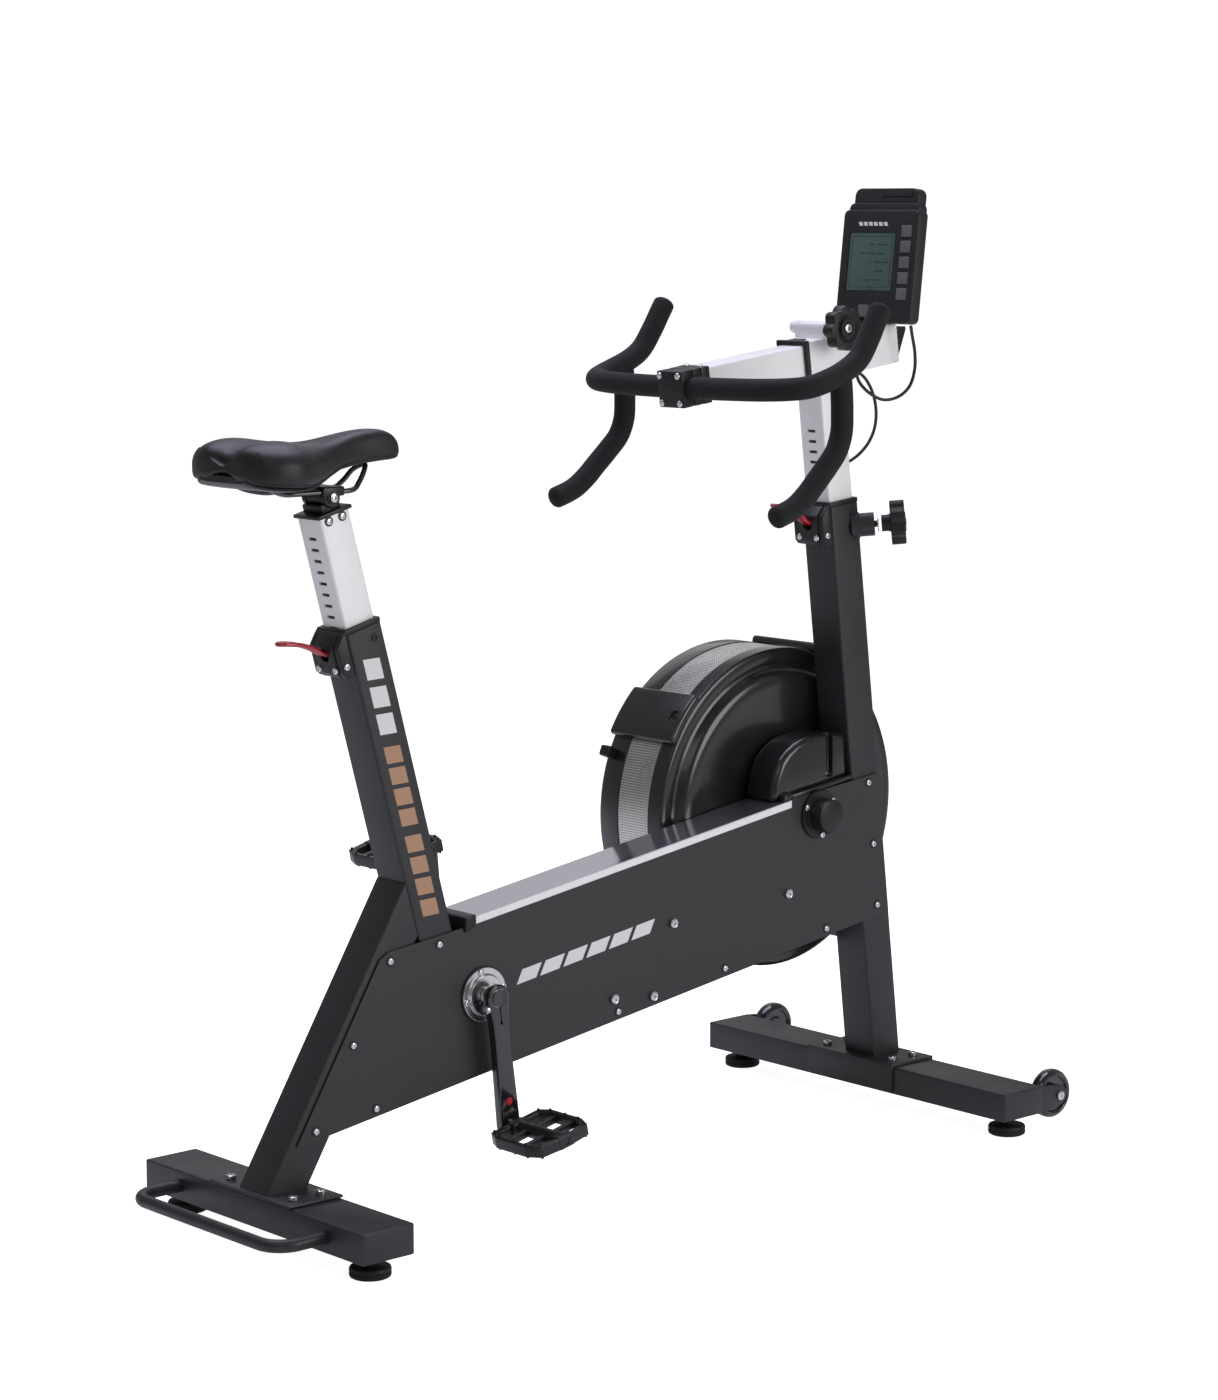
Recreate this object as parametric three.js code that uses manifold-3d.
// Air bike: a welded steel frame with a fan on its left side, an adjustable seat and handlebar,
// and a small console. Millimetres, +X forward, +Y to the rider's left, +Z up, floor at z = 0.
import * as THREE from "three";
import { mergeVertices } from "three/addons/utils/BufferGeometryUtils.js";
import Module from "manifold-3d";

const wasm = await Module();
wasm.setup();

// ---------------------------------------------------------------- driving dimensions
const GAP = 0.3; // clearance between touching pieces

// Floor tubes
const FOOT_RADIUS = 26.5;
const TUBE_BOTTOM = 28; // underside of both stabilisers
const TUBE_TOP = 68;
const TUBE_DEPTH = 80;
const FRONT_TUBE_X = 547;
const FRONT_TUBE_HALF = 305;
const REAR_TUBE_X = -536;
const REAR_TUBE_HALF = 234;
const FRONT_FOOT_Y = 273;
const REAR_FOOT_Y = 196;
const HANDLE_X = -650; // centre of the carry handle's outer run
const HANDLE_RADIUS = 8.5;
const HANDLE_HALF = 157;
const BASE_HALF = 87; // half length of the two bolted base plates
const BASE_TOP = 72.3;
const WHEEL_X = 624;
const WHEEL_Y = 286;
const WHEEL_Z = 48;
const WHEEL_RADIUS = 35;
const WHEEL_WIDTH = 22;

// Frame tubes, 60 mm wide across the bike
const FRAME_HALF = 30;
const WALL = 3;
const LEG_HALF = 28; // half depth, square to the tube's own length
const SEAT_LEAN = THREE.MathUtils.degToRad(15.3);
const SEAT_TOP = { x: -408.5, z: 780.5 };
const SEAT_TUBE_LENGTH = 455;
const LEG_LEAN = THREE.MathUtils.degToRad(31.3);
const LEG_FOOT = { x: -536, z: 78.5 };
const POST_LEAN = THREE.MathUtils.degToRad(6.7);
const POST_HALF = 27.5;
const POST_TOP = { x: 456.5, z: 889.5 };
const BODY_SLOPE = Math.tan(THREE.MathUtils.degToRad(8.56));
const COVER_INNER = 30.3;
const COVER_OUTER = 33.3;

// Sliding square tubes
const INNER_HALF = 24;
const INNER_WALL = 2.5;
const SEAT_POST_TOP = 154;
const SEAT_POST_BOTTOM = -170;
const BAR_POST_TOP = 181;
const BAR_POST_BOTTOM = -190;
const SLOT_PITCH = 15;

// Crank, pedals and drive
const CRANK_AXIS = { x: -220, z: 279.3 };
const CRANK_LENGTH = 175;
const CRANK_LEAN = THREE.MathUtils.degToRad(6.6); // the right crank hangs down and slightly forward
const CRANK_INNER = 53;
const CRANK_OUTER = 67;
const PEDAL_TILT = THREE.MathUtils.degToRad(12);
const PEDAL_CENTRE_Y = 125;
const SPROCKET_RADIUS = 62;
const SMALL_PULLEY_RADIUS = 18;
const LARGE_PULLEY_RADIUS = 55;
const FAN_PULLEY_RADIUS = 22;
const LAYSHAFT_AXIS = { x: 119, z: 330 };
const FAN_AXIS = { x: 404, z: 447.5 };
const FAN_RADIUS = 233;
const FAN_NEAR = 48;
const MESH_NEAR = 75;
const MESH_FAR = 140;
const FAN_FAR = 180;

// Handlebar and console
const REACH_TILT = THREE.MathUtils.degToRad(7.5);
const BAR_AXIS = { x: 166, z: 1066 };
const BAR_RADIUS = 15.5;
const SLEEVE_START = 222;
const SLEEVE_END = 402;
const SLEEVE_HALF = 29;
const SLIDER_HALF = 23.5;
const CONSOLE_TILT = THREE.MathUtils.degToRad(6.8);
const CONSOLE_FOOT = { x: 540, z: 1147 };
const CONSOLE_HALF = 75;
const CONSOLE_HEIGHT = 163;
const CONSOLE_DEPTH = 20;

// ---------------------------------------------------------------- materials
function paint(color, roughness, metalness) {
  return new THREE.MeshStandardMaterial({ color, roughness, metalness });
}
const framePaint = paint(0x35353a, 0.55, 0.3);
const coverPaint = paint(0x3a3a3f, 0.6, 0.2);
const aluminium = paint(0xdfe0e2, 0.35, 0.9);
const steel = paint(0xb8babd, 0.3, 1.0);
const blackPlastic = paint(0x17171a, 0.4, 0.0);
const foam = paint(0x1b1b1d, 0.85, 0.0);
const redPaint = paint(0xa3141f, 0.35, 0.3);
const rubber = paint(0x141416, 0.8, 0.0);
const screenGlass = paint(0x5d7d70, 0.2, 0.0);
const keyPlastic = paint(0x77787c, 0.6, 0.0);
const saddleSkin = paint(0x161618, 0.5, 0.0);

// ---------------------------------------------------------------- solid helpers
function toSolid(geometry) {
  const bare = geometry.index ? geometry.toNonIndexed() : geometry.clone();
  bare.deleteAttribute("normal");
  bare.deleteAttribute("uv");
  const merged = mergeVertices(bare, 1e-3);
  const vertProperties = merged.attributes.position.array;
  const triVerts = new Uint32Array(merged.index.array);
  const made = new wasm.Manifold(new wasm.Mesh({ numProp: 3, vertProperties, triVerts }));
  if (made.volume() > 0) return made;
  for (let i = 0; i < triVerts.length; i += 3) {
    const first = triVerts[i];
    triVerts[i] = triVerts[i + 1];
    triVerts[i + 1] = first;
  }
  return new wasm.Manifold(new wasm.Mesh({ numProp: 3, vertProperties, triVerts }));
}

function toGeometry(solid) {
  const mesh = solid.getMesh();
  const geometry = new THREE.BufferGeometry();
  const position = new THREE.BufferAttribute(new Float32Array(mesh.vertProperties), 3);
  geometry.setAttribute("position", position);
  geometry.setIndex(new THREE.BufferAttribute(new Uint32Array(mesh.triVerts), 1));
  const flat = geometry.toNonIndexed();
  flat.computeVertexNormals();
  return flat;
}

function join(first, ...others) {
  return others.reduce((sum, other) => sum.add(other), first);
}

function cut(first, ...others) {
  return others.reduce((rest, other) => rest.subtract(other), first);
}

// A box from its low and high limits on each axis.
function block([x0, x1], [y0, y1], [z0, z1]) {
  const box = new THREE.BoxGeometry(x1 - x0, y1 - y0, z1 - z0);
  box.translate((x0 + x1) / 2, (y0 + y1) / 2, (z0 + z1) / 2);
  return toSolid(box);
}

// A round bar between two points.
function rod(from, to, radius, sides = 16) {
  const a = new THREE.Vector3(...from);
  const b = new THREE.Vector3(...to);
  const bar = new THREE.CylinderGeometry(radius, radius, a.distanceTo(b), sides);
  const turn = new THREE.Quaternion().setFromUnitVectors(
    new THREE.Vector3(0, 1, 0), b.clone().sub(a).normalize());
  bar.applyQuaternion(turn);
  bar.translate(...a.add(b).multiplyScalar(0.5).toArray());
  return toSolid(bar);
}

// A flat outline in the XZ plane, carried across the bike from y0 to y1.
function prism(outline, y0, y1) {
  const shape = Array.isArray(outline)
    ? new THREE.Shape(outline.map(([x, z]) => new THREE.Vector2(x, z))) : outline;
  const slab = new THREE.ExtrudeGeometry(shape, { depth: y1 - y0, bevelEnabled: false, curveSegments: 6 });
  slab.rotateX(Math.PI / 2); // the outline's second axis becomes +Z and the depth runs towards -Y
  slab.translate(0, y1, 0);
  return toSolid(slab);
}

// A closed outline of radius and height, turned about an axis through the point at.
function turned(profile, at = [0, 0, 0], axis = [0, 1, 0], sides = 32) {
  const points = [...profile, profile[0]].map(([r, h]) => new THREE.Vector2(r, h));
  const ring = new THREE.LatheGeometry(points, sides);
  const turn = new THREE.Quaternion().setFromUnitVectors(
    new THREE.Vector3(0, 1, 0), new THREE.Vector3(...axis).normalize());
  ring.applyQuaternion(turn);
  ring.translate(...at);
  return toSolid(ring);
}

// A round tube or bar along a smooth curve through points.
function bentRod(points, radius, steps, sides = 12) {
  const curve = new THREE.CatmullRomCurve3(points.map((p) => new THREE.Vector3(...p)), false, "centripetal");
  const section = new THREE.Shape();
  for (let i = 0; i < sides; i++) {
    const angle = (2 * Math.PI * i) / sides;
    const x = radius * Math.cos(angle);
    const y = radius * Math.sin(angle);
    if (i === 0) section.moveTo(x, y);
    else section.lineTo(x, y);
  }
  return toSolid(new THREE.ExtrudeGeometry(section, { steps, extrudePath: curve, bevelEnabled: false }));
}

// A closed body through rings of points that all have the same count.
function loft(rings) {
  const count = rings[0].length;
  const positions = [];
  const triangle = (...corners) => corners.forEach((p) => positions.push(...p));
  for (let i = 0; i + 1 < rings.length; i++)
    for (let j = 0; j < count; j++) {
      const k = (j + 1) % count;
      triangle(rings[i][j], rings[i + 1][j], rings[i + 1][k]);
      triangle(rings[i][j], rings[i + 1][k], rings[i][k]);
    }
  for (const [ring, flip] of [[rings[0], false], [rings.at(-1), true]])
    for (let j = 1; j + 1 < count; j++)
      if (flip) triangle(ring[0], ring[j + 1], ring[j]);
      else triangle(ring[0], ring[j], ring[j + 1]);
  const geometry = new THREE.BufferGeometry();
  geometry.setAttribute("position", new THREE.Float32BufferAttribute(positions, 3));
  return toSolid(geometry);
}

// A rectangle with round corners, as a Shape.
function roundedRectangle(x0, x1, z0, z1, radius) {
  const shape = new THREE.Shape();
  shape.moveTo(x0 + radius, z0);
  shape.lineTo(x1 - radius, z0);
  shape.absarc(x1 - radius, z0 + radius, radius, -Math.PI / 2, 0, false);
  shape.lineTo(x1, z1 - radius);
  shape.absarc(x1 - radius, z1 - radius, radius, 0, Math.PI / 2, false);
  shape.lineTo(x0 + radius, z1);
  shape.absarc(x0 + radius, z1 - radius, radius, Math.PI / 2, Math.PI, false);
  shape.lineTo(x0, z0 + radius);
  shape.absarc(x0 + radius, z0 + radius, radius, Math.PI, 1.5 * Math.PI, false);
  return shape;
}

// Moves a solid from a leaning tube's own frame, with its top at z = 0, to the bike's frame.
function stand(solid, top, lean) {
  return solid.rotate([0, -THREE.MathUtils.radToDeg(lean), 0]).translate([top.x, 0, top.z]);
}

// A square-cornered tube along local Z, open at both ends.
function boxTube(halfX, halfY, wall, z0, z1) {
  const outside = block([-halfX, halfX], [-halfY, halfY], [z0, z1]);
  const inside = block([wall - halfX, halfX - wall], [wall - halfY, halfY - wall], [z0 - 1, z1 + 1]);
  return cut(outside, inside);
}

const bike = new THREE.Group();

function addPiece(group, name, solid, material) {
  const mesh = new THREE.Mesh(toGeometry(solid), material);
  mesh.name = name;
  group.add(mesh);
  return mesh;
}

function leaningGroup(x, z, angle) {
  const group = new THREE.Group();
  group.position.set(x, 0, z);
  group.rotation.y = angle;
  bike.add(group);
  return group;
}

// ---------------------------------------------------------------- floor tubes, feet and wheels
const STEM_RADIUS = 5;

function stabilizer(x, half, footY) {
  const low = x - TUBE_DEPTH / 2;
  const high = x + TUBE_DEPTH / 2;
  const outside = block([low, high], [-half, half], [TUBE_BOTTOM, TUBE_TOP]);
  const inside = block(
    [low + WALL, high - WALL], [WALL - half, half - WALL], [TUBE_BOTTOM + WALL, TUBE_TOP - WALL]);
  const stemHoles = [-footY, footY].map((y) =>
    rod([x, y, TUBE_BOTTOM - 5], [x, y, TUBE_BOTTOM + 10], STEM_RADIUS + 0.4, 16));
  return cut(outside, inside, ...stemHoles);
}

// The end plate reaches forward past the tube and carries a transport wheel on its axle.
function wheelPlate(side) {
  const outer = side * FRONT_TUBE_HALF;
  const inner = side * (FRONT_TUBE_HALF - 6);
  const nose = 15;
  const plate = new THREE.Shape();
  plate.moveTo(FRONT_TUBE_X, TUBE_BOTTOM);
  plate.lineTo(FRONT_TUBE_X + TUBE_DEPTH / 2, TUBE_BOTTOM);
  plate.lineTo(WHEEL_X, WHEEL_Z - nose);
  plate.absarc(WHEEL_X, WHEEL_Z, nose, -Math.PI / 2, Math.PI / 2, false);
  plate.lineTo(FRONT_TUBE_X + TUBE_DEPTH / 2, TUBE_TOP);
  plate.lineTo(FRONT_TUBE_X, TUBE_TOP);
  const [low, high] = [inner, outer].sort((a, b) => a - b);
  const ends = side * (WHEEL_Y - WHEEL_WIDTH / 2 - 4);
  const axle = rod([WHEEL_X, outer, WHEEL_Z], [WHEEL_X, ends, WHEEL_Z], 4, 16);
  const head = rod([WHEEL_X, outer - side, WHEEL_Z], [WHEEL_X, outer + side * 4, WHEEL_Z], 7, 6);
  return join(prism(plate, low, high), axle, head);
}

function carryHandle() {
  const tubeRear = REAR_TUBE_X - TUBE_DEPTH / 2 + 1;
  const z = (TUBE_BOTTOM + TUBE_TOP) / 2;
  const bend = 34;
  const path = [];
  for (const side of [-1, 1]) {
    const corner = [];
    corner.push([tubeRear, side * HANDLE_HALF, z]);
    corner.push([tubeRear - 20, side * HANDLE_HALF, z]);
    for (let i = 0; i <= 4; i++) {
      const angle = (Math.PI / 2) * (i / 4);
      const x = HANDLE_X + bend - bend * Math.sin(angle);
      const y = side * (HANDLE_HALF - bend + bend * Math.cos(angle));
      corner.push([x, y, z]);
    }
    corner.push([HANDLE_X, side * 60, z]);
    path.push(...(side < 0 ? corner : corner.reverse()));
  }
  return bentRod(path, HANDLE_RADIUS, 26, 8);
}

function levellingFoot() {
  const profile = [
    [0, 0], [FOOT_RADIUS - 2, 0], [FOOT_RADIUS, 3], [FOOT_RADIUS, 11], [FOOT_RADIUS - 3, 14],
    [10, 14], [10, TUBE_BOTTOM - GAP], [STEM_RADIUS, TUBE_BOTTOM - GAP], [STEM_RADIUS, 46], [0, 46],
  ];
  return turned(profile, [0, 0, 0], [0, 0, 1], 14);
}

function transportWheel() {
  const half = WHEEL_WIDTH / 2;
  const profile = [
    [4.4, -half], [12, -half], [14, 4 - half], [24, 4 - half], [28, -half],
    [WHEEL_RADIUS, -4], [WHEEL_RADIUS, 4], [28, half], [24, half - 4], [14, half - 4], [12, half], [4.4, half],
  ];
  return turned(profile, [0, 0, 0], [0, 1, 0], 20);
}

addPiece(bike, "rear_stabilizer",
  join(stabilizer(REAR_TUBE_X, REAR_TUBE_HALF, REAR_FOOT_Y), carryHandle()), framePaint);
addPiece(bike, "front_stabilizer",
  join(stabilizer(FRONT_TUBE_X, FRONT_TUBE_HALF, FRONT_FOOT_Y), wheelPlate(-1), wheelPlate(1)), framePaint);

for (const [name, x, y] of [
  ["foot_front_right", FRONT_TUBE_X, -FRONT_FOOT_Y], ["foot_front_left", FRONT_TUBE_X, FRONT_FOOT_Y],
  ["foot_rear_right", REAR_TUBE_X, -REAR_FOOT_Y], ["foot_rear_left", REAR_TUBE_X, REAR_FOOT_Y],
])
  addPiece(bike, name, levellingFoot(), rubber).position.set(x, y, 0);

for (const [name, side] of [["wheel_right", -1], ["wheel_left", 1]])
  addPiece(bike, name, transportWheel(), rubber).position.set(WHEEL_X, side * WHEEL_Y, WHEEL_Z);

// ---------------------------------------------------------------- welded frame
// The x of a leaning tube's centre line at height z.
const seatX = (z) => SEAT_TOP.x + (SEAT_TOP.z - z) * Math.tan(SEAT_LEAN);
const legX = (z) => LEG_FOOT.x + (z - LEG_FOOT.z) * Math.tan(LEG_LEAN);
const postX = (z) => POST_TOP.x + (POST_TOP.z - z) * Math.tan(POST_LEAN);
// The body's lower and upper edges.
const bodyBottom = (x) => 174 + (x + 205) * BODY_SLOPE;
const bodyTop = (x) => 385 + (x + 243) * BODY_SLOPE;

// The rear leg, cut off along the seat tube, with its bolted base plate.
function rearLeg() {
  const across = LEG_HALF / Math.cos(LEG_LEAN);
  const innerAcross = (LEG_HALF - WALL) / Math.cos(LEG_LEAN);
  const top = 470;
  const floor = BASE_TOP - 1;
  const tube = (half, halfY, z0) => prism(
    [[legX(z0) - half, z0], [legX(z0) + half, z0], [legX(top) + half, top], [legX(top) - half, top]],
    -halfY, halfY);
  const seatRear = (z) => seatX(z) - LEG_HALF / Math.cos(SEAT_LEAN) - GAP;
  const ahead = prism(
    [[seatRear(200), 200], [seatRear(200) + 400, 200], [seatRear(560) + 400, 560], [seatRear(560), 560]],
    -40, 40);
  const overhang = 2;
  const plate = block(
    [REAR_TUBE_X - TUBE_DEPTH / 2 - overhang, REAR_TUBE_X + TUBE_DEPTH / 2 + overhang],
    [-BASE_HALF, BASE_HALF], [TUBE_TOP + GAP, BASE_TOP]);
  const bore = tube(innerAcross, FRAME_HALF - WALL, floor + 8);
  return join(cut(tube(across, FRAME_HALF, floor), bore, ahead), plate);
}

// The front post, closed at its foot by the plate that wraps the floor tube.
function frontPost() {
  const length = 840;
  const boreEnd = 808;
  const wrapThick = 4;
  const outside = block([-POST_HALF, POST_HALF], [-FRAME_HALF, FRAME_HALF], [-length, 0]);
  const bore = block(
    [WALL - POST_HALF, POST_HALF - WALL], [WALL - FRAME_HALF, FRAME_HALF - WALL], [-boreEnd, 1]);
  const belowFoot = block([400, 700], [-FRAME_HALF - 1, FRAME_HALF + 1], [0, BASE_TOP - 1]);
  const low = FRONT_TUBE_X - TUBE_DEPTH / 2;
  const high = FRONT_TUBE_X + TUBE_DEPTH / 2;
  const wrap = cut(
    block([low - wrapThick, high + wrapThick], [-BASE_HALF, BASE_HALF], [TUBE_BOTTOM + 3, BASE_TOP]),
    block([low - GAP, high + GAP], [-BASE_HALF - 1, BASE_HALF + 1], [0, TUBE_TOP + GAP]));
  const boss = join(rod(alongKnob(28), alongKnob(40), 20, 18), rod(alongKnob(38), alongKnob(62), 17, 18));
  const studHole = rod(alongKnob(20), alongKnob(70), 5.4, 16);
  const placedBore = stand(bore, POST_TOP, POST_LEAN);
  const tube = cut(stand(outside, POST_TOP, POST_LEAN), belowFoot);
  return cut(join(tube, wrap, boss), placedBore, studHole);
}

// The clamp knob's axis leaves the post's centre line towards the front right corner.
const KNOB_HEIGHT = 855;
function alongKnob(distance) {
  const corner = Math.SQRT1_2;
  return [
    postX(KNOB_HEIGHT) + distance * corner * Math.cos(POST_LEAN),
    -distance * corner,
    KNOB_HEIGHT + distance * corner * Math.sin(POST_LEAN),
  ];
}

function mainBeam() {
  const height = 36;
  const legFront = (z) => legX(z) + LEG_HALF / Math.cos(LEG_LEAN) + GAP;
  const postRear = (z) => postX(z) - POST_HALF / Math.cos(POST_LEAN) - GAP;
  const rail = (inset) => {
    const low = (x) => bodyBottom(x) + 2 + inset;
    const high = (x) => bodyBottom(x) + height - inset;
    const rear = legFront(155);
    const front = postRear(290);
    const reach = inset > 0 ? 30 : 0;
    return prism(
      [[rear - reach, low(rear - reach)], [front + reach, low(front + reach)],
        [front + reach, high(front + reach)], [rear + 20 - reach, high(rear + 20 - reach)]],
      inset - FRAME_HALF, FRAME_HALF - inset);
  };
  const legSide = prism(
    [[legFront(60) - 200, 60], [legFront(60), 60], [legFront(300), 300], [legFront(300) - 200, 300]],
    -40, 40);
  const postSide = prism(
    [[postRear(200), 200], [postRear(200) + 200, 200], [postRear(400) + 200, 400], [postRear(400), 400]],
    -40, 40);
  return cut(rail(0), rail(WALL), legSide, postSide);
}

// One side cover. Its outline follows the leg, the body's slopes and the front post.
function sideCover(side) {
  const legEdge = (z) => legX(z) - LEG_HALF / Math.cos(LEG_LEAN) + 13;
  const postEdge = (z) => postX(z) + POST_HALF / Math.cos(POST_LEAN) - 5;
  const stripEnd = 349;
  const outline = [
    [legEdge(128), 128], [-468, 135], [-205, bodyBottom(-205)], [postEdge(286), 286],
    [postEdge(494), 494], [stripEnd, bodyTop(stripEnd)], [stripEnd, bodyTop(stripEnd) - 11.5],
    [-243, bodyTop(-243) - 11.5], [legEdge(356) + 10, 358], [legEdge(350), 350],
  ];
  const [low, high] = side < 0 ? [-COVER_OUTER, -COVER_INNER] : [COVER_INNER, COVER_OUTER];
  const hole = ({ x, z }, radius) => rod([x, low - 1, z], [x, high + 1, z], radius, 28);
  return cut(prism(outline, low, high), hole(CRANK_AXIS, 22.4), hole(FAN_AXIS, 14));
}

// Along the body's top: a plate with its edges turned down over the covers.
function topGuard() {
  const from = -243;
  const to = 349;
  const thick = 3;
  const edge = 11;
  const band = (above, below, x0, x1, y0, y1) => prism(
    [[x0, bodyTop(x0) + above], [x0, bodyTop(x0) + below],
      [x1, bodyTop(x1) + below], [x1, bodyTop(x1) + above]], y0, y1);
  const half = COVER_OUTER + 1.5;
  return join(
    band(0, -thick, from, to, -half, half),
    band(-1, -edge, from, to, -half, -COVER_INNER), band(-1, -edge, from, to, COVER_INNER, half));
}

addPiece(bike, "rear_leg", rearLeg(), framePaint);
addPiece(bike, "front_post", frontPost(), framePaint);
addPiece(bike, "main_beam", mainBeam(), framePaint);
addPiece(bike, "right_cover", sideCover(-1), coverPaint);
addPiece(bike, "left_cover", sideCover(1), coverPaint);
addPiece(bike, "top_guard", topGuard(), aluminium);

// ---------------------------------------------------------------- collars and red levers
// Local frame: z = 0 at the outer tube's top, x forward, square to the tube.
function collar(halfX) {
  const rim = cut(
    block([-halfX - 1, halfX], [-FRAME_HALF, FRAME_HALF], [GAP, 7]),
    block([-INNER_HALF - 0.3, INNER_HALF + 0.3], [-INNER_HALF - 0.3, INNER_HALF + 0.3], [-1, 8]));
  const back = -halfX - GAP;
  const housing = prism(
    [[back, 5], [back - 5, 5], [back - 20, -12], [back - 20, -48], [back - 16, -53], [back, -53]],
    -FRAME_HALF, FRAME_HALF);
  const pocket = block([back - 25, back - 6], [-10, 10], [-32, -8]);
  const bridge = block([back - 4, -halfX + 0.5], [-FRAME_HALF, FRAME_HALF], [GAP, 5]);
  return join(rim, bridge, cut(housing, pocket));
}

// A flat tongue that comes out of the pocket and bends up towards the rear.
function releaseLever(halfX) {
  const back = -halfX - GAP;
  const spine = [
    [back - 9, -24], [back - 20, -19], [back - 36, -4], [back - 52, 8], [back - 70, 16], [back - 86, 18],
  ];
  const thick = 4;
  const curve = new THREE.CatmullRomCurve3(spine.map(([x, z]) => new THREE.Vector3(x, 0, z)));
  const upper = [];
  const lower = [];
  const steps = 12;
  for (let i = 0; i <= steps; i++) {
    const point = curve.getPoint(i / steps);
    const along = curve.getTangent(i / steps);
    upper.push([point.x - (along.z * thick) / 2, point.z + (along.x * thick) / 2]);
    lower.push([point.x + (along.z * thick) / 2, point.z - (along.x * thick) / 2]);
  }
  const tongue = prism([...upper, ...lower.reverse()], -8, 8);
  const window = block([back - 78, back - 42], [-4, 4], [-20, 40]);
  return cut(tongue, window);
}

const seat = leaningGroup(SEAT_TOP.x, SEAT_TOP.z, -SEAT_LEAN);
addPiece(seat, "seat_tube", boxTube(LEG_HALF, FRAME_HALF, WALL, -SEAT_TUBE_LENGTH, 0), framePaint);
addPiece(seat, "seat_collar", collar(LEG_HALF), blackPlastic);
addPiece(seat, "seat_lever", releaseLever(LEG_HALF), redPaint);

const post = leaningGroup(POST_TOP.x, POST_TOP.z, -POST_LEAN);
addPiece(post, "post_collar", collar(POST_HALF), blackPlastic);
addPiece(post, "post_lever", releaseLever(POST_HALF), redPaint);

// ---------------------------------------------------------------- seat post and saddle
// A square sliding tube with a ladder of locking slots in its rear wall.
function slottedTube(bottom, top, firstSlot, slots) {
  let tube = boxTube(INNER_HALF, INNER_HALF, INNER_WALL, bottom, top);
  for (let i = 0; i < slots; i++) {
    const z = firstSlot - i * SLOT_PITCH;
    tube = cut(tube, block([-INNER_HALF - 1, -INNER_HALF + INNER_WALL + 1], [-7, 9], [z - 2.5, z + 2.5]));
  }
  return tube;
}

const CLAMP = { x: -452, z: 949 }; // saddle clamp barrel, in the bike's own frame
const CLAMP_RADIUS = 13;
const RAIL_HALF = 22;
const RAIL_RADIUS = 3.5;
const RAIL_Z = 956;

function seatPost() {
  const tube = slottedTube(SEAT_POST_BOTTOM, SEAT_POST_TOP, 126, 10);
  const plate = block([-27, 27], [-27, 27], [SEAT_POST_TOP - 1, SEAT_POST_TOP + 4]);
  const cradle = block([-15, 15], [-20, 20], [SEAT_POST_TOP + 3, SEAT_POST_TOP + 14]);
  const dx = CLAMP.x - SEAT_TOP.x;
  const dz = CLAMP.z - SEAT_TOP.z;
  const x = dx * Math.cos(SEAT_LEAN) + dz * Math.sin(SEAT_LEAN);
  const z = dz * Math.cos(SEAT_LEAN) - dx * Math.sin(SEAT_LEAN);
  return join(tube, plate, cut(cradle, rod([x, -40, z], [x, 40, z], CLAMP_RADIUS + 0.4, 24)));
}
addPiece(seat, "seat_post", seatPost(), aluminium);

function saddleRails() {
  const side = (sign) => [
    [-566, sign * 40, 972], [-545, sign * 34, 962],
    [-520, sign * RAIL_HALF, RAIL_Z], [-490, sign * RAIL_HALF, RAIL_Z],
    [-450, sign * RAIL_HALF, RAIL_Z], [-418, sign * RAIL_HALF, RAIL_Z], [-402, sign * 17, 968],
    [-388, sign * 11, 984],
  ];
  return bentRod([...side(-1), [-382, 0, 987], ...side(1).reverse()], RAIL_RADIUS, 30, 6);
}

function saddleClamp() {
  const barrel = rod([CLAMP.x, -26, CLAMP.z], [CLAMP.x, 26, CLAMP.z], CLAMP_RADIUS, 24);
  const yoke = block([CLAMP.x - 17, CLAMP.x + 17], [-28, 28], [CLAMP.z + 1, RAIL_Z + 7]);
  const grooves = [-1, 1].map((sign) => rod(
    [CLAMP.x - 30, sign * RAIL_HALF, RAIL_Z], [CLAMP.x + 30, sign * RAIL_HALF, RAIL_Z], RAIL_RADIUS + 1.4, 12));
  return cut(join(barrel, yoke), ...grooves);
}

// Saddle stations from tail to nose: x, half width, top, underside of the skirt.
const SADDLE_STATIONS = [
  [-606, 34, 1008, 988], [-594, 74, 1018, 980], [-572, 90, 1024, 975], [-545, 90, 1024, 973],
  [-515, 76, 1021, 974], [-480, 54, 1020, 976], [-445, 34, 1024, 980], [-405, 23, 1031, 989],
  [-368, 20, 1032, 994], [-343, 15, 1021, 997], [-332, 7, 1010, 999],
];

function saddleRing(x, half, top, bottom) {
  const around = 14;
  const ring = [];
  for (let i = 0; i < around; i++) {
    const angle = (2 * Math.PI * i) / around;
    const c = Math.cos(angle);
    const s = Math.sin(angle);
    const y = half * Math.sign(c) * Math.sqrt(Math.abs(c));
    const middle = (top + bottom) / 2;
    ring.push([x, y, middle + ((top - bottom) / 2) * Math.sign(s) * Math.pow(Math.abs(s), 0.7)]);
  }
  return ring;
}

function saddleCushion() {
  return loft(SADDLE_STATIONS.map((station) => saddleRing(...station)));
}

// The moulded shell under the cushion.
function saddleBase() {
  const stations = SADDLE_STATIONS.slice(1, -1);
  return loft(stations.map(([x, half, , bottom]) => saddleRing(x, half * 0.8, bottom - GAP, bottom - 8)));
}

const rails = saddleRails();
addPiece(bike, "saddle_rails", rails, steel);
addPiece(bike, "saddle_clamp", saddleClamp(), blackPlastic);
addPiece(bike, "saddle_cushion", saddleCushion(), saddleSkin);
addPiece(bike, "saddle_base", cut(saddleBase(), railClearance()), blackPlastic);

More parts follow.
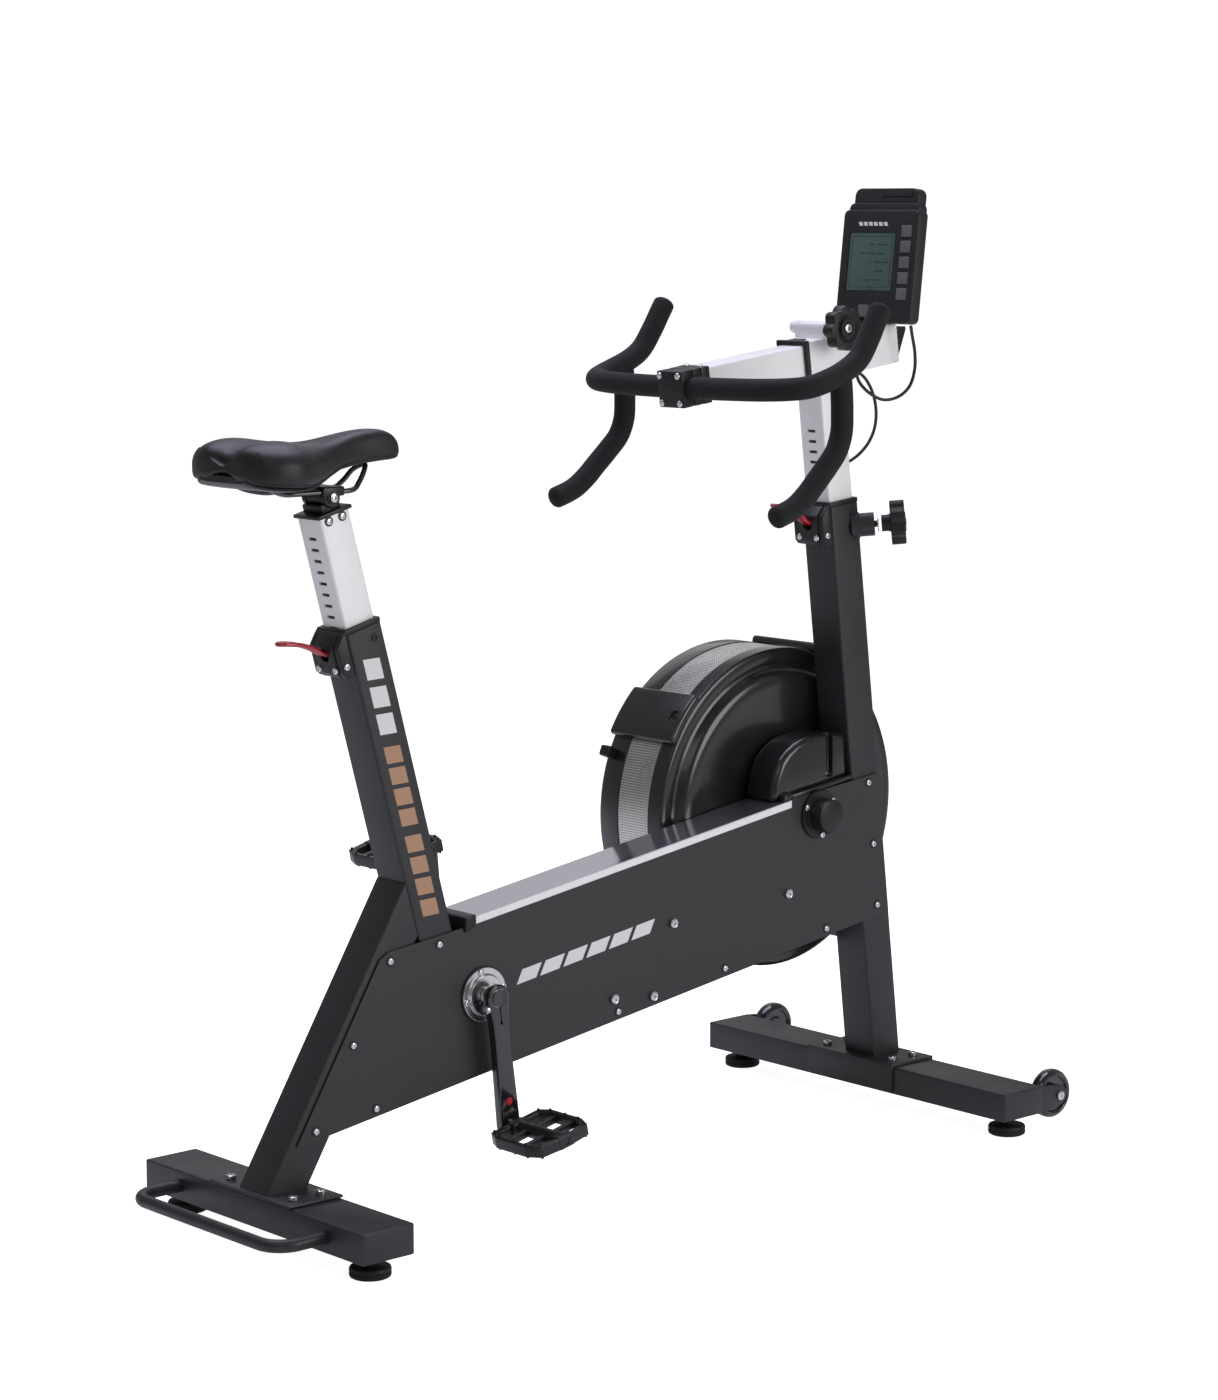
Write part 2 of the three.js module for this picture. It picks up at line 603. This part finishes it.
// Room in the shell for the rails' ends and nose.
function railClearance() {
  const nose = block([-400, -372], [-16, 16], [975, 992]);
  const tails = [-1, 1].map((sign) => block([-576, -538], [sign * 37 - 9, sign * 37 + 9], [950, 978]));
  return join(nose, ...tails);
}

// ---------------------------------------------------------------- handlebar post, reach slider and bar
addPiece(post, "handlebar_post", slottedTube(BAR_POST_BOTTOM, BAR_POST_TOP, 109, 8), aluminium);

const reach = leaningGroup(BAR_AXIS.x, BAR_AXIS.z, -REACH_TILT);
const SLIDER_END = 352;
const BARREL = { x: 263, z: 43, radius: 9 };
const KNOB_Y = -60;

// A square tube along local X, open where asked.
function reachTube(half, wall, x0, x1, closedFront) {
  const outside = block([x0, x1], [-half, half], [-half, half]);
  const innerEnd = closedFront ? x1 - wall : x1 + 1;
  return cut(outside, block([x0 - 1, innerEnd], [wall - half, half - wall], [wall - half, half - wall]));
}

function reachSleeve() {
  const wall = SLEEVE_HALF - SLIDER_HALF - 0.5;
  const tube = reachTube(SLEEVE_HALF, wall, SLEEVE_START, SLEEVE_END, true);
  const pad = block([BARREL.x - 9, BARREL.x + 9], [-34, 30], [SLEEVE_HALF - 1, BARREL.z]);
  const barrel = rod([BARREL.x, -44, BARREL.z], [BARREL.x, 39, BARREL.z], BARREL.radius, 20);
  return cut(join(tube, pad, barrel), rod([BARREL.x, -50, BARREL.z], [BARREL.x, 30, BARREL.z], 4.6, 16));
}

// Both knobs: a disc with round hollows cut in its rim, a hub and a threaded stud.
function lobedKnob(radius, thick, lobes, hollowRadius, hollowCentre) {
  const rim = [[0, 0], [radius - 2, 0], [radius, 2], [radius, thick - 2], [radius - 2, thick], [0, thick]];
  let disc = turned(rim, [0, 0, 0], [0, 1, 0], 24);
  for (let i = 0; i < lobes; i++) {
    const angle = (2 * Math.PI * i) / lobes;
    const x = hollowCentre * Math.cos(angle);
    const z = hollowCentre * Math.sin(angle);
    disc = cut(disc, rod([x, -1, z], [x, thick + 1, z], hollowRadius, 8));
  }
  return disc;
}

addPiece(reach, "reach_slider", reachTube(SLIDER_HALF, INNER_WALL, 17.6, SLIDER_END, false), aluminium);
addPiece(reach, "reach_sleeve", reachSleeve(), aluminium);

const reachKnob = join(
  lobedKnob(32, 20, 8, 8, 36), rod([0, 19, 0], [0, 80, 0], 4, 16), rod([0, 18, 0], [0, 25, 0], 14, 20));
const reachKnobPiece = addPiece(reach, "reach_knob", reachKnob, blackPlastic);
reachKnobPiece.position.set(BARREL.x, KNOB_Y - 10, BARREL.z);

const postKnob = join(
  lobedKnob(32.5, 21, 7, 8, 37),
  rod([0, -13, 0], [0, 1, 0], 12, 20),
  rod([0, -50, 0], [0, -12, 0], 5, 16),
  rod([0, -20.5, 0], [0, -18.5, 0], 12, 20));
const postKnobPiece = addPiece(bike, "post_knob", postKnob, blackPlastic);
postKnobPiece.position.set(...alongKnob(85));
postKnobPiece.quaternion.setFromUnitVectors(
  new THREE.Vector3(0, 1, 0),
  new THREE.Vector3(...alongKnob(1)).sub(new THREE.Vector3(...alongKnob(0))).normalize());

// The bar runs across, turns forward on each side and rises into an upright grip.
function hornPoints(side) {
  return [
    [166, side * 60, 1066], [167, side * 130, 1067], [172, side * 178, 1068], [192, side * 208, 1070],
    [222, side * 219, 1077], [262, side * 220, 1091], [291, side * 220, 1109], [310, side * 219, 1137],
    [326, side * 218, 1162], [337, side * 217.5, 1179],
  ];
}

function handlebar(radius) {
  const left = hornPoints(1).reverse();
  return bentRod([...left, [166, 0, 1066], ...hornPoints(-1)], radius, 36, 8);
}

function drop(side) {
  const points = [
    [256, side * 220, 1079], [258, side * 220, 1050], [258, side * 220, 1018], [248, side * 221, 990],
    [216, side * 223, 958], [186, side * 224, 929], [162, side * 224.5, 914], [124, side * 224.6, 900],
  ];
  return bentRod(points, BAR_RADIUS, 12, 8);
}

const thickBar = handlebar(BAR_RADIUS + GAP);
addPiece(bike, "handlebar", handlebar(BAR_RADIUS), foam);
addPiece(bike, "right_drop", cut(drop(-1), thickBar), foam);
addPiece(bike, "left_drop", cut(drop(1), thickBar), foam);

function stemHalf(x0, x1) {
  const bore = rod([0, -40, 0], [0, 40, 0], BAR_RADIUS + 0.6, 24);
  return cut(block([x0, x1], [-25, 25], [-25.5, 25.5]), bore);
}
addPiece(reach, "stem_cap", stemHalf(-21, -GAP), blackPlastic);
addPiece(reach, "stem_block", stemHalf(GAP, 17.3), blackPlastic);

// ---------------------------------------------------------------- console
const screenPanel = { y: [-31, 59], z: [46, 130] };
const keyColumn = { y: -54, top: 132.5, pitch: 22.6, count: 5 };
const lowerKey = { y: 19, z: 17 };
const KEY = { width: 20, height: 17, proud: 1.2, deep: 4 };
const HINGE = { x: 28, z: 15 };
const consoleGroup = leaningGroup(CONSOLE_FOOT.x, CONSOLE_FOOT.z, CONSOLE_TILT);

const keyPlaces = [];
for (let i = 0; i < keyColumn.count; i++) keyPlaces.push([keyColumn.y, keyColumn.top - i * keyColumn.pitch]);
keyPlaces.push([lowerKey.y, lowerKey.z]);

// An upright slab with round corners, facing -X, from depth x0 to x1.
function consoleSlab(half, z0, z1, radius, x0, x1) {
  const slab = new THREE.ExtrudeGeometry(roundedRectangle(-half, half, z0, z1, radius),
    { depth: x1 - x0, bevelEnabled: false, curveSegments: 3 });
  slab.rotateX(Math.PI / 2);
  slab.rotateZ(Math.PI / 2);
  slab.translate(x0, 0, 0);
  return toSolid(slab);
}

function consoleHousing() {
  const body = join(
    consoleSlab(CONSOLE_HALF, 0, CONSOLE_HEIGHT, 9, 0, CONSOLE_DEPTH),
    consoleSlab(69, 120, 173, 9, 4, CONSOLE_DEPTH + 3), consoleSlab(63, 120, 197, 11, 7, CONSOLE_DEPTH + 6),
    consoleSlab(55, 25, 110, 8, CONSOLE_DEPTH - 2, CONSOLE_DEPTH + 14));
  const screenWell = block([-1, 3.5], [screenPanel.y[0] - GAP, screenPanel.y[1] + GAP],
    [screenPanel.z[0] - GAP, screenPanel.z[1] + GAP]);
  const wellHalf = { y: KEY.width / 2 + 0.5, z: KEY.height / 2 + 0.5 };
  const wells = keyPlaces.map(([y, z]) =>
    block([-1, 7], [y - wellHalf.y, y + wellHalf.y], [z - wellHalf.z, z + wellHalf.z]));
  const sleeveRoom = block([-1, CONSOLE_DEPTH + 15], [-32, 32], [-1, 7]);
  const ears = [-1, 1].map((side) => cut(
    block([CONSOLE_DEPTH - 1, HINGE.x + 7], side < 0 ? [-17, -9] : [9, 17], [HINGE.z - 8, HINGE.z + 8]),
    rod([HINGE.x, side * 30, HINGE.z], [HINGE.x, side * 5, HINGE.z], 4.5, 16)));
  const hingeRoom = block([CONSOLE_DEPTH + 0.5, CONSOLE_DEPTH + 20], [-24, 24], [-5, HINGE.z + 10]);
  return join(cut(body, screenWell, ...wells, hingeRoom, sleeveRoom), ...ears);
}

function consoleBracket() {
  const dx = HINGE.x * Math.cos(CONSOLE_TILT) + HINGE.z * Math.sin(CONSOLE_TILT);
  const dz = HINGE.z * Math.cos(CONSOLE_TILT) - HINGE.x * Math.sin(CONSOLE_TILT);
  const hinge = { x: CONSOLE_FOOT.x + dx, z: CONSOLE_FOOT.z + dz };
  const face = (z) => { // the sleeve's closed front face, in the bike's frame
    const centreX = BAR_AXIS.x + SLEEVE_END * Math.cos(REACH_TILT);
    const centreZ = BAR_AXIS.z + SLEEVE_END * Math.sin(REACH_TILT);
    return centreX - (z - centreZ) * Math.tan(REACH_TILT) + GAP + 0.2;
  };
  const web = prism([
    [face(1092), 1092], [face(1092) + 5, 1092], [hinge.x + 7, hinge.z - 4],
    [hinge.x + 4, hinge.z + 3], [hinge.x - 4, hinge.z + 3], [face(1144), 1144],
  ], -8.5, 8.5);
  const pin = rod([hinge.x, -18, hinge.z], [hinge.x, 18, hinge.z], 4, 16);
  const eye = rod([hinge.x, -8.5, hinge.z], [hinge.x, 8.5, hinge.z], 6.5, 20);
  const foot = prism(
    [[face(1092), 1092], [face(1092) + 4, 1092], [face(1142) + 4, 1142], [face(1142), 1142]], -22, 22);
  return join(web, pin, eye, foot);
}

addPiece(consoleGroup, "console_housing", consoleHousing(), blackPlastic);
addPiece(consoleGroup, "console_screen", block([0.8, 3.2], screenPanel.y, screenPanel.z), screenGlass);
keyPlaces.forEach(([y, z], index) => {
  const key = block(
    [-KEY.proud, KEY.deep], [-KEY.width / 2, KEY.width / 2], [-KEY.height / 2, KEY.height / 2]);
  addPiece(consoleGroup, `key_${index + 1}`, key, keyPlastic).position.set(0, y, z);
});
addPiece(bike, "console_bracket", consoleBracket(), blackPlastic);

// The sensor cable hangs in one loop from the console down to the handlebar post.
const CABLE_RADIUS = 2.4;
const CABLE_ROUTE = [
  [557, -62, 1143.6], [560, -62, 1130], [567, -61, 1105], [570, -58, 1080], [566, -52, 1056], [552, -43, 1041],
  [532, -33, 1037], [514, -24, 1046], [504, -14, 1060], [508, -3, 1072], [524, 6, 1073], [541, 9, 1062],
  [553, 8, 1042], [555, 4, 1018], [546, -2, 995], [529, -7, 975], [508, -10, 960], [488, -12, 951], [476, -12, 947],
];
addPiece(bike, "sensor_cable", bentRod(CABLE_ROUTE, CABLE_RADIUS, 42, 8), rubber);

// ---------------------------------------------------------------- crank, pedals and drive
const PEDAL_PIN = 4.5;

// A crank arm in its own frame: spindle at the origin, pedal end at -Z, outer face towards -Y.
function crankArm() {
  const arm = new THREE.Shape();
  const headRadius = 18;
  const endRadius = 16;
  arm.absarc(0, 0, headRadius, 0, Math.PI, false);
  arm.lineTo(-15, -45);
  arm.absarc(0, -CRANK_LENGTH, endRadius, Math.PI, 2 * Math.PI, false);
  arm.lineTo(15, -45);
  const body = prism(arm, -CRANK_OUTER, -CRANK_INNER);
  const bore = rod([0, -CRANK_OUTER - 1, 0], [0, -CRANK_INNER + 1, 0], 12.6, 16);
  const pin = rod([0, -CRANK_OUTER + 2, -CRANK_LENGTH], [0, -172, -CRANK_LENGTH], PEDAL_PIN, 16);
  const collarRing = rod([0, -CRANK_OUTER + 1, -CRANK_LENGTH], [0, -CRANK_OUTER - 4, -CRANK_LENGTH], 7, 16);
  return join(cut(body, bore), pin, collarRing);
}

// A platform pedal in its own frame: axle along Y through the origin, centred.
function pedal() {
  const outline = new THREE.Shape([
    [-42, -50], [-50, -30], [-50, 26], [-40, 50], [-14, 53], [14, 53], [40, 50], [50, 26], [50, -30], [42, -50],
  ].map(([x, y]) => new THREE.Vector2(x, y)));
  const plate = new THREE.ExtrudeGeometry(outline, { depth: 18, bevelEnabled: false });
  plate.translate(0, 0, -9);
  const windows = [];
  for (const sx of [-1, 1])
    for (const [y0, y1] of [[-42, -17], [-11, 13], [19, 43]]) {
      const [x0, x1] = sx < 0 ? [-42, -14] : [14, 42];
      windows.push(block([x0, x1], [y0, y1], [-20, 20]));
    }
  const hub = rod([0, -50, 0], [0, 50, 0], 11, 20);
  const bore = rod([0, -52, 0], [0, 60, 0], PEDAL_PIN + 0.5, 16);
  return cut(join(cut(toSolid(plate), ...windows), hub), bore);
}

function spindle() {
  const shaft = rod([0, -CRANK_OUTER + 1, 0], [0, CRANK_OUTER - 1, 0], 12, 16);
  let ring = rod([0, -14, 0], [0, -6, 0], SPROCKET_RADIUS, 28);
  for (let i = 0; i < 5; i++) {
    const angle = (2 * Math.PI * i) / 5;
    const [x, z] = [38 * Math.cos(angle), 38 * Math.sin(angle)];
    ring = cut(ring, rod([x, -20, z], [x, 0, z], 13, 8));
  }
  return join(shaft, ring);
}

const crankGroup = leaningGroup(CRANK_AXIS.x, CRANK_AXIS.z, -CRANK_LEAN);
addPiece(crankGroup, "crank_spindle", spindle(), steel);
addPiece(crankGroup, "crank_right", crankArm(), blackPlastic);
addPiece(crankGroup, "crank_left", crankArm(), blackPlastic).rotation.x = Math.PI;

const pedalOffset = {
  x: CRANK_LENGTH * Math.sin(CRANK_LEAN),
  z: -CRANK_LENGTH * Math.cos(CRANK_LEAN),
};
for (const [name, side] of [["pedal_right", -1], ["pedal_left", 1]]) {
  const piece = addPiece(bike, name, pedal(), blackPlastic);
  piece.position.set(CRANK_AXIS.x - side * pedalOffset.x, side * PEDAL_CENTRE_Y, CRANK_AXIS.z - side * pedalOffset.z);
  piece.rotation.set(0, -PEDAL_TILT, 0);
  if (side < 0) piece.scale.y = -1;
}

// A bearing housing bolted through a cover: a flange outside and a cup inside.
function bearingHousing(side) {
  const flange = COVER_OUTER + GAP;
  const profile = [
    [12.5, 22], [22, 22], [22, flange], [36.4, flange], [36.4, 38], [28, 38], [24, 42], [12.5, 42],
  ];
  return turned(profile, [CRANK_AXIS.x, 0, CRANK_AXIS.z], [0, side, 0], 18);
}
addPiece(bike, "bearing_right", bearingHousing(-1), steel);
addPiece(bike, "bearing_left", bearingHousing(1), steel);

// Plane of each belt across the bike.
const DRIVE_PLANE = [-14, -6];
const FAN_PLANE = [6, 14];

function layshaft() {
  const disc = (radius, [y0, y1]) => rod([0, y0, 0], [0, y1, 0], radius, 28);
  const shaft = rod([0, -28, 0], [0, 28, 0], 7, 12);
  return join(shaft, disc(SMALL_PULLEY_RADIUS, DRIVE_PLANE), disc(LARGE_PULLEY_RADIUS, FAN_PLANE));
}
addPiece(bike, "layshaft", layshaft(), steel).position.set(LAYSHAFT_AXIS.x, 0, LAYSHAFT_AXIS.z);

// A belt round two pulleys: the outer line of two circles and the straight runs between them.
function beltOutline(a, radiusA, b, radiusB) {
  const distance = Math.hypot(b.x - a.x, b.z - a.z);
  const heading = Math.atan2(b.z - a.z, b.x - a.x);
  const open = Math.acos((radiusA - radiusB) / distance);
  const points = [];
  const arc = (centre, radius, from, to, steps) => {
    for (let i = 0; i <= steps; i++) {
      const angle = from + ((to - from) * i) / steps;
      points.push([centre.x + radius * Math.cos(angle), centre.z + radius * Math.sin(angle)]);
    }
  };
  arc(b, radiusB, heading - open, heading + open, 7);
  arc(a, radiusA, heading + open, heading + 2 * Math.PI - open, 13);
  return points;
}

function belt(a, radiusA, b, radiusB, [y0, y1]) {
  const clear = 0.9;
  const thick = 2.5;
  const outside = prism(beltOutline(a, radiusA + clear + thick, b, radiusB + clear + thick), y0 + 0.5, y1 - 0.5);
  const inside = prism(beltOutline(a, radiusA + clear, b, radiusB + clear), y0 - 1, y1 + 1);
  return cut(outside, inside);
}
addPiece(bike, "drive_belt",
  belt(CRANK_AXIS, SPROCKET_RADIUS, LAYSHAFT_AXIS, SMALL_PULLEY_RADIUS, DRIVE_PLANE), rubber);
addPiece(bike, "fan_belt", belt(LAYSHAFT_AXIS, LARGE_PULLEY_RADIUS, FAN_AXIS, FAN_PULLEY_RADIUS, FAN_PLANE), rubber);

// ---------------------------------------------------------------- fan
const FAN_BLADES = 12;

function fanWheel() {
  const axle = rod([0, -52, 0], [0, FAN_FAR - 8, 0], 8, 20);
  const pulley = rod([0, FAN_PLANE[0], 0], [0, FAN_PLANE[1], 0], FAN_PULLEY_RADIUS, 20);
  const hub = rod([0, 62, 0], [0, 165, 0], 26, 16);
  const plate = rod([0, 108, 0], [0, 111, 0], 150, 24);
  const blades = [];
  for (let i = 0; i < FAN_BLADES; i++)
    blades.push(block([20, 218], [66, 152], [-1.2, 1.2]).rotate([0, (360 * i) / FAN_BLADES, 0]));
  return join(axle, pulley, hub, plate, ...blades);
}
addPiece(bike, "fan_wheel", fanWheel(), blackPlastic).position.set(FAN_AXIS.x, 0, FAN_AXIS.z);

const FAN_SIDES = 32;
const SHELL = 3;
const STEP_RADIUS = 205; // where the housing's side rises to its face
const FACE_RADIUS = 190;
const NEAR_FACE = 37;
const FAR_FACE = 188;

// A bridge over the mesh from the near shell to the far one, at an angle round the rim.
function meshBridge(degrees) {
  const half = 9.5;
  const arc = [];
  for (let i = 0; i <= 4; i++) arc.push(degrees - half + (2 * half * i) / 4);
  const at = (radius, angle) => [
    FAN_AXIS.x + radius * Math.cos((angle * Math.PI) / 180), FAN_AXIS.z + radius * Math.sin((angle * Math.PI) / 180)];
  const band = (inner, outer, y0, y1) => prism(
    [...arc.map((angle) => at(outer, angle)), ...[...arc].reverse().map((angle) => at(inner, angle))], y0, y1);
  return join(
    band(FAN_RADIUS - 1.5, FAN_RADIUS + 10, FAN_NEAR + 1, MESH_NEAR - 1), band(FAN_RADIUS + 1, FAN_RADIUS + 10, MESH_NEAR - 2, FAN_FAR - 6));
}

function nearShell() {
  const inner = FAN_RADIUS - SHELL;
  const profile = [
    [11, NEAR_FACE], [FACE_RADIUS - 5, NEAR_FACE], [FACE_RADIUS + 4, NEAR_FACE + 3], [STEP_RADIUS, FAN_NEAR],
    [FAN_RADIUS - 3, FAN_NEAR], [FAN_RADIUS, FAN_NEAR + 3], [FAN_RADIUS, MESH_NEAR], [inner, MESH_NEAR],
    [inner, FAN_NEAR + SHELL], [STEP_RADIUS - 1, FAN_NEAR + SHELL], [FACE_RADIUS - 1, NEAR_FACE + SHELL + 1],
    [11, NEAR_FACE + SHELL],
  ];
  const shell = turned(profile, [FAN_AXIS.x, 0, FAN_AXIS.z], [0, 1, 0], FAN_SIDES);
  return join(shell, ...[142, 64, -50, -135].map(meshBridge));
}

function farShell() {
  const inner = FAN_RADIUS - SHELL;
  const profile = [
    [FAN_RADIUS, MESH_FAR], [FAN_RADIUS, FAN_FAR - 8], [FAN_RADIUS - 6, FAN_FAR], [STEP_RADIUS, FAN_FAR + 1],
    [FACE_RADIUS, FAR_FACE], [0, FAR_FACE], [0, FAR_FACE - SHELL], [FACE_RADIUS - 2, FAR_FACE - SHELL],
    [STEP_RADIUS - 2, FAN_FAR - 3], [inner - 4, FAN_FAR - 4], [inner, FAN_FAR - 10], [inner, MESH_FAR],
  ];
  const shell = turned(profile, [FAN_AXIS.x, 0, FAN_AXIS.z], [0, 1, 0], FAN_SIDES);
  const intakes = [];
  for (let i = 0; i < 10; i++) {
    const slot = prism([[75, -8], [80, -12], [160, -12], [165, -8], [165, 8], [160, 12], [80, 12], [75, 8]],
      FAR_FACE - 20, FAR_FACE + 20);
    intakes.push(slot.rotate([0, 36 * i, 0]).translate([FAN_AXIS.x, 0, FAN_AXIS.z]));
  }
  return cut(shell, ...intakes);
}

function meshBand() {
  const profile = [
    [FAN_RADIUS - 1, MESH_NEAR + GAP], [FAN_RADIUS - 1, MESH_FAR - GAP], [FAN_RADIUS - 3, MESH_FAR - GAP],
    [FAN_RADIUS - 3, MESH_NEAR + GAP],
  ];
  return turned(profile, [FAN_AXIS.x, 0, FAN_AXIS.z], [0, 1, 0], FAN_SIDES);
}

addPiece(bike, "fan_housing_right", nearShell(), blackPlastic);
addPiece(bike, "fan_housing_left", farShell(), blackPlastic);
addPiece(bike, "fan_mesh", meshBand(), steel);

// The cover on the body's top, in front of the post, over the fan pulley.
function humpCover() {
  const front = (z) => postX(z) - POST_HALF / Math.cos(POST_LEAN) - 0.8;
  const rear = 322;
  const baseStart = 349.6;
  const top = 560;
  const profile = (inset) => {
    const low = inset > 0 ? -8 : 0;
    return [
      [rear + inset, bodyTop(rear) + GAP + low], [front(490) - inset, bodyTop(front(490)) + GAP + low],
      [front(top - 8) - inset, top - 8 - inset], [436, top - inset], [385, top - 3 - inset], [357, top - 12 - inset],
      [338, top - 30 - inset / 2], [328 + inset * 0.7, top - 52],
    ];
  };
  const outside = prism(profile(0), -24, NEAR_FACE - 0.5);
  const inside = prism(profile(2.5), -21.5, NEAR_FACE - 3);
  const slot = block([430, 441], [-30, -18], [500, 570]);
  const base = prism(
    [[baseStart, bodyTop(baseStart) - 3], [front(485), bodyTop(front(485)) - 3], [front(490), bodyTop(front(490)) + 1],
      [baseStart, bodyTop(baseStart) + 1]], -COVER_INNER + GAP, COVER_INNER - GAP);
  return join(cut(outside, inside, slot), base);
}
addPiece(bike, "hump_cover", humpCover(), blackPlastic);

function axleCap() {
  const profile = [
    [0, 62], [21, 62], [24.5, 58.5], [24.5, 38], [35, 38], [35, COVER_OUTER + GAP], [11, COVER_OUTER + GAP],
    [11, 55], [0, 55],
  ];
  return turned(profile, [FAN_AXIS.x, 0, FAN_AXIS.z], [0, -1, 0], 18);
}
addPiece(bike, "axle_cap", axleCap(), blackPlastic);

export default bike;
